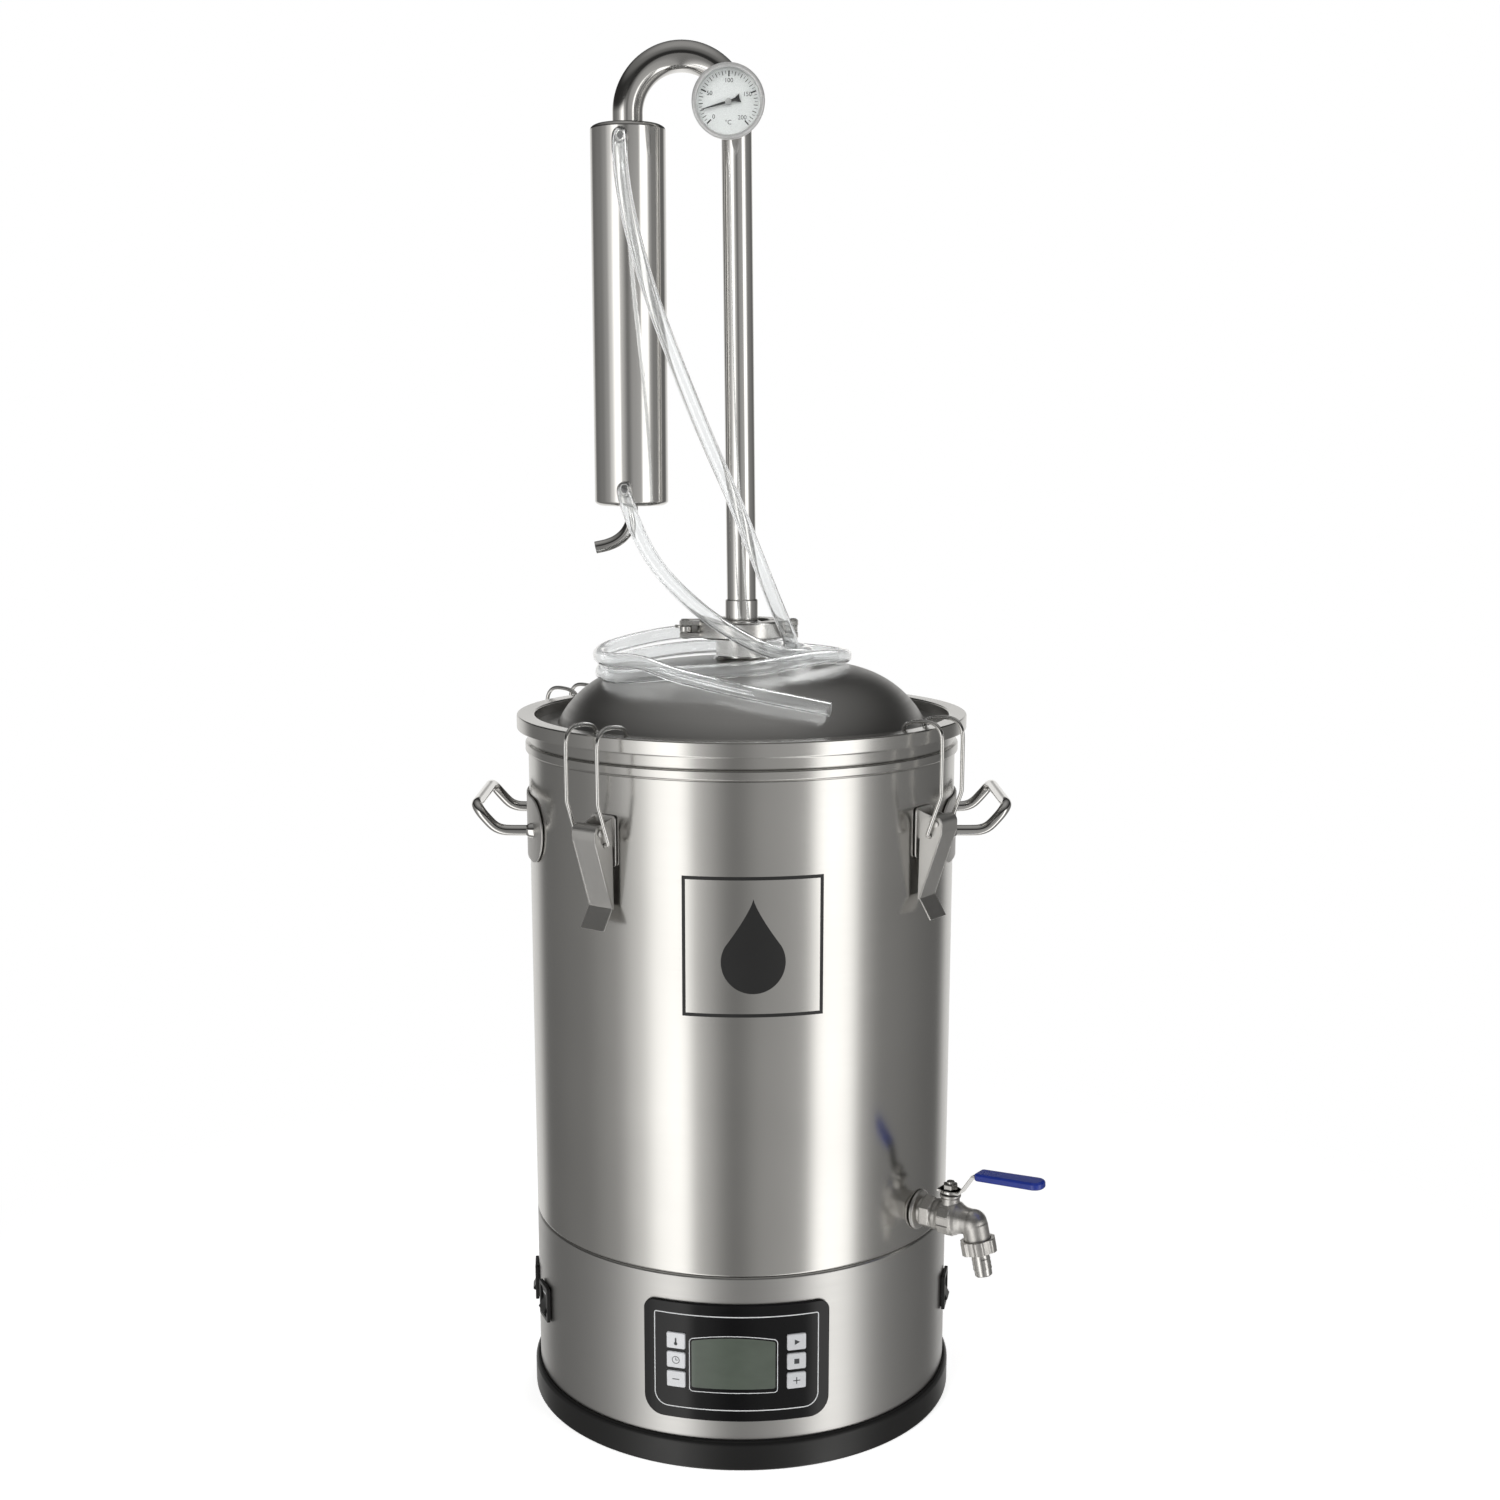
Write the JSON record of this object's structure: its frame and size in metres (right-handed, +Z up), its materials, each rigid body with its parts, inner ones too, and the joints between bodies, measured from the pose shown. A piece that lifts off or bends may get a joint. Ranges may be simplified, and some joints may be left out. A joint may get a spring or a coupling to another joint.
{
  "type": "brew kettle with still column",
  "caption": "Upright electric brew kettle with a dome lid, a still column and condenser, cooling hoses, a dial thermometer, a draw-off tap and a control panel.",
  "frame": {"origin": "on the kettle's axis at floor level, centre of the bottom cover's underside", "axes": "+Z up the kettle's axis, the control panel faces -Y, +X is to the right seen from the front"},
  "size_m": [0.4185, 0.3366, 1.0084],
  "materials": {
    "brushed_steel": "satin brushed",
    "polished_steel": "polished",
    "cast_steel": "bead-blasted",
    "aluminium": "as rolled",
    "black_rubber": "matt",
    "black_plastic": "gloss",
    "blue_vinyl": "dipped vinyl",
    "silicone": "translucent white",
    "clear_hose": "clear",
    "lcd_glass": "gloss",
    "clear_glass": "clear",
    "button_silver": "silver paint",
    "green_board": "circuit board",
    "dark_paint": "matt"
  },
  "bodies": {
    "kettle": {"kettle_shell": "brushed_steel", "base_casing": "brushed_steel", "foot_ring": "black_rubber", "bottom_cover": "aluminium", "heating_element": "aluminium", "thermal_cutout": "black_plastic", "control_board": "green_board", "panel_bezel": "black_plastic", "lcd_window": "lcd_glass", "rocker_frame_1": "black_plastic", "rocker_frame_2": "black_plastic", "rocker_frame_3": "black_plastic", "power_inlet": "black_plastic", "handle_left": "polished_steel", "handle_right": "polished_steel", "latch_base_1": "brushed_steel", "latch_base_2": "brushed_steel", "latch_base_3": "brushed_steel", "latch_base_4": "brushed_steel", "tap_nipple": "cast_steel", "tap_locknut": "cast_steel", "tap_body": "cast_steel", "tap_hose_tail": "cast_steel"},
    "lid": {"lid_dome": "polished_steel", "lid_seal": "silicone", "clamp_gasket": "silicone"},
    "column": {"riser_pipe": "polished_steel", "clamp_front": "polished_steel", "clamp_rear": "polished_steel", "condenser_jacket": "polished_steel", "condenser_tube": "polished_steel", "thermometer_case": "polished_steel", "thermometer_glass": "clear_glass", "hose_upper": "clear_hose", "hose_lower": "clear_hose"},
    "tap_handle": {"tap_lever": "polished_steel", "tap_lever_sleeve": "blue_vinyl", "tap_stem": "cast_steel", "tap_stem_nut": "polished_steel"},
    "union_nut": {"tap_union_nut": "cast_steel"},
    "clamp_screw": {"clamp_bolt": "polished_steel"},
    "wing_nut": {"clamp_wing_nut": "polished_steel"},
    "needle": {"thermometer_needle": "dark_paint"},
    "button_1": {"button_1": "button_silver"},
    "button_2": {"button_2": "button_silver"},
    "button_3": {"button_3": "button_silver"},
    "button_4": {"button_4": "button_silver"},
    "button_5": {"button_5": "button_silver"},
    "button_6": {"button_6": "button_silver"},
    "rocker_1": {"rocker_1": "black_plastic"},
    "rocker_2": {"rocker_2": "black_plastic"},
    "rocker_3": {"rocker_3": "black_plastic"},
    "latch_lever_1": {"latch_lever_1": "brushed_steel"},
    "latch_bail_1": {"latch_bail_1": "polished_steel"},
    "latch_lever_2": {"latch_lever_2": "brushed_steel"},
    "latch_bail_2": {"latch_bail_2": "polished_steel"},
    "latch_lever_3": {"latch_lever_3": "brushed_steel"},
    "latch_bail_3": {"latch_bail_3": "polished_steel"},
    "latch_lever_4": {"latch_lever_4": "brushed_steel"},
    "latch_bail_4": {"latch_bail_4": "polished_steel"}
  },
  "joints": [
    {"name": "lid_lift", "type": "slide", "parent": "kettle", "child": "lid", "axis": [0, 0, 1], "range_m": [0, 0.2], "deforming": ["latch_bail_1", "latch_bail_2", "latch_bail_3", "latch_bail_4"]},
    {"name": "column_swivel", "type": "hinge", "parent": "lid", "child": "column", "pos_m": [0, 0, 0.594], "axis": [0, 0, 1], "range_deg": [-90, 90]},
    {"name": "clamp_bolt_swing", "type": "hinge", "parent": "column", "child": "clamp_screw", "pos_m": [-0.0415, -0.006, 0.594], "axis": [0, 0, 1], "range_deg": [0, 100]},
    {"name": "wing_nut_spin", "type": "hinge", "parent": "clamp_screw", "child": "wing_nut", "pos_m": [-0.0415, 0.0145, 0.594], "axis": [0, 1, 0], "continuous": true},
    {"name": "needle_sweep", "type": "hinge", "parent": "column", "child": "needle", "pos_m": [-0.0092, -0.0425, 0.96], "axis": [0, 1, 0], "range_deg": [-28.5, 242.5], "stiffness_Nm_per_rad": 0.002},
    {"name": "tap_lever_turn", "type": "hinge", "parent": "kettle", "child": "tap_handle", "pos_m": [0.15302, -0.10714, 0.172], "axis": [0, 0, 1], "range_deg": [0, 90]},
    {"name": "union_nut_spin", "type": "hinge", "parent": "kettle", "child": "union_nut", "pos_m": [0.17278, -0.12098, 0.15544], "axis": [0.1843, -0.129, -0.9744], "continuous": true},
    {"name": "button_press_1", "type": "slide", "parent": "kettle", "child": "button_1", "axis": [0.289, 0.9573, 0], "range_m": [0, 0.001], "stiffness_N_per_m": 500, "springref_m": -0.0004},
    {"name": "button_press_2", "type": "slide", "parent": "kettle", "child": "button_2", "axis": [0.289, 0.9573, 0], "range_m": [0, 0.001], "stiffness_N_per_m": 500, "springref_m": -0.0004},
    {"name": "button_press_3", "type": "slide", "parent": "kettle", "child": "button_3", "axis": [0.289, 0.9573, 0], "range_m": [0, 0.001], "stiffness_N_per_m": 500, "springref_m": -0.0004},
    {"name": "button_press_4", "type": "slide", "parent": "kettle", "child": "button_4", "axis": [-0.2419, 0.9703, 0], "range_m": [0, 0.001], "stiffness_N_per_m": 500, "springref_m": -0.0004},
    {"name": "button_press_5", "type": "slide", "parent": "kettle", "child": "button_5", "axis": [-0.2419, 0.9703, 0], "range_m": [0, 0.001], "stiffness_N_per_m": 500, "springref_m": -0.0004},
    {"name": "button_press_6", "type": "slide", "parent": "kettle", "child": "button_6", "axis": [-0.2419, 0.9703, 0], "range_m": [0, 0.001], "stiffness_N_per_m": 500, "springref_m": -0.0004},
    {"name": "rocker_tip_1", "type": "hinge", "parent": "kettle", "child": "rocker_1", "pos_m": [-0.14471, -0.05555, 0.084], "axis": [0.3584, -0.9336, 0], "range_deg": [0, 20]},
    {"name": "rocker_tip_2", "type": "hinge", "parent": "kettle", "child": "rocker_2", "pos_m": [-0.15441, -0.01351, 0.084], "axis": [0.0872, -0.9962, 0], "range_deg": [0, 20]},
    {"name": "rocker_tip_3", "type": "hinge", "parent": "kettle", "child": "rocker_3", "pos_m": [0.15161, -0.03223, 0.084], "axis": [0.2079, 0.9781, 0], "range_deg": [0, 20]},
    {"name": "latch_lever_swing_1", "type": "hinge", "parent": "kettle", "child": "latch_lever_1", "pos_m": [-0.10528, -0.14228, 0.4665], "axis": [-0.8039, 0.5948, 0], "range_deg": [0, 150]},
    {"name": "latch_bail_swing_1", "type": "hinge", "parent": "latch_lever_1", "child": "latch_bail_1", "pos_m": [-0.10261, -0.13867, 0.4575], "axis": [-0.8039, 0.5948, 0], "range_deg": [-175, 0]},
    {"name": "latch_lever_swing_2", "type": "hinge", "parent": "kettle", "child": "latch_lever_2", "pos_m": [0.14228, -0.10528, 0.4665], "axis": [-0.5948, -0.8039, 0], "range_deg": [0, 150]},
    {"name": "latch_bail_swing_2", "type": "hinge", "parent": "latch_lever_2", "child": "latch_bail_2", "pos_m": [0.13867, -0.10261, 0.4575], "axis": [-0.5948, -0.8039, 0], "range_deg": [-175, 0]},
    {"name": "latch_lever_swing_3", "type": "hinge", "parent": "kettle", "child": "latch_lever_3", "pos_m": [0.10528, 0.14228, 0.4665], "axis": [0.8039, -0.5948, 0], "range_deg": [0, 150]},
    {"name": "latch_bail_swing_3", "type": "hinge", "parent": "latch_lever_3", "child": "latch_bail_3", "pos_m": [0.10261, 0.13867, 0.4575], "axis": [0.8039, -0.5948, 0], "range_deg": [-175, 0]},
    {"name": "latch_lever_swing_4", "type": "hinge", "parent": "kettle", "child": "latch_lever_4", "pos_m": [-0.14228, 0.10528, 0.4665], "axis": [0.5948, 0.8039, 0], "range_deg": [0, 150]},
    {"name": "latch_bail_swing_4", "type": "hinge", "parent": "latch_lever_4", "child": "latch_bail_4", "pos_m": [-0.13867, 0.10261, 0.4575], "axis": [0.5948, 0.8039, 0], "range_deg": [-175, 0]}
  ],
  "couplings": [
    {"joint": "latch_bail_swing_1", "follows": "latch_lever_swing_1", "ratio": -1.166},
    {"joint": "latch_bail_swing_2", "follows": "latch_lever_swing_2", "ratio": -1.166},
    {"joint": "latch_bail_swing_3", "follows": "latch_lever_swing_3", "ratio": -1.166},
    {"joint": "latch_bail_swing_4", "follows": "latch_lever_swing_4", "ratio": -1.166}
  ]
}
